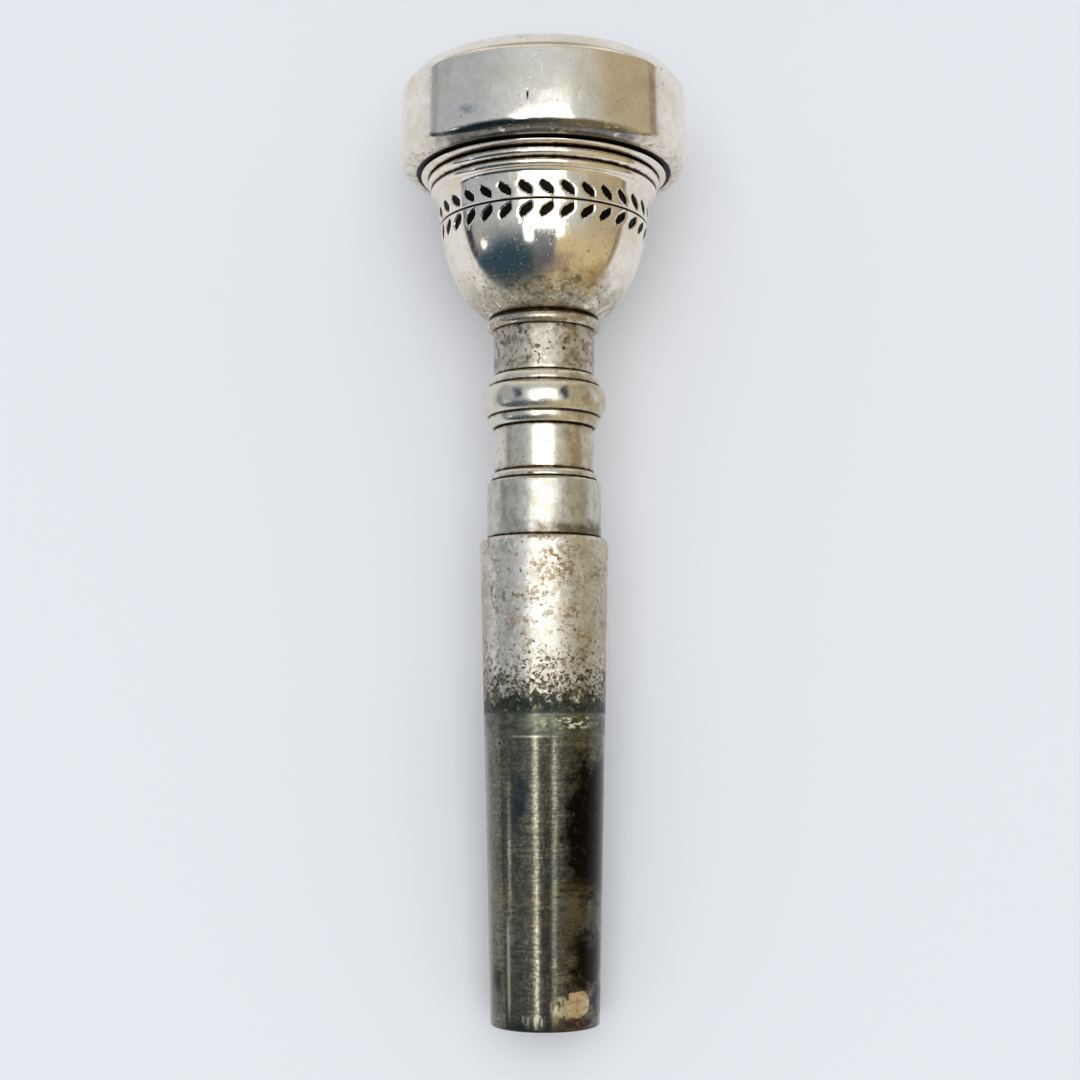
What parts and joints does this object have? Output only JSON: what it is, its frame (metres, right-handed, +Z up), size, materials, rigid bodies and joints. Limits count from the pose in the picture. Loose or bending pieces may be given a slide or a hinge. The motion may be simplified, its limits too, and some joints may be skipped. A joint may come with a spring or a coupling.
{
  "type": "trumpet mouthpiece",
  "caption": "Take-apart brass-instrument mouthpiece: screw rim, bowl-shaped cup with throat, and a tapered shank with flared backbore, silver plated and tarnished.",
  "frame": {"origin": "centre of the annular end face at the shank's small end, which goes into the instrument's receiver", "axes": "+Y along the air passage towards the player's rim, +Z up, +X to the right; the piece is round about Y"},
  "size_m": [0.0268, 0.0873, 0.0268],
  "materials": {
    "shank_silver": "worn silver plate over brass: satin and pitted above, dark green-brown tarnish with fine turning lines on the taper",
    "cup_silver": "polished silver plate over brass, brown speckled tarnish towards the foot and black tarnish in the grooves",
    "rim_silver": "mirror-polished silver plate over brass with fine handling scratches"
  },
  "bodies": {
    "shank": {"shank": "shank_silver"},
    "cup": {"cup": "cup_silver"},
    "rim": {"rim": "rim_silver"}
  },
  "joints": [
    {"name": "cup_unscrew", "type": "slide", "parent": "shank", "child": "cup", "axis": [0, 1, 0], "range_m": [0, 0.012]},
    {"name": "rim_unscrew", "type": "slide", "parent": "cup", "child": "rim", "axis": [0, 1, 0], "range_m": [0, 0.012]}
  ]
}
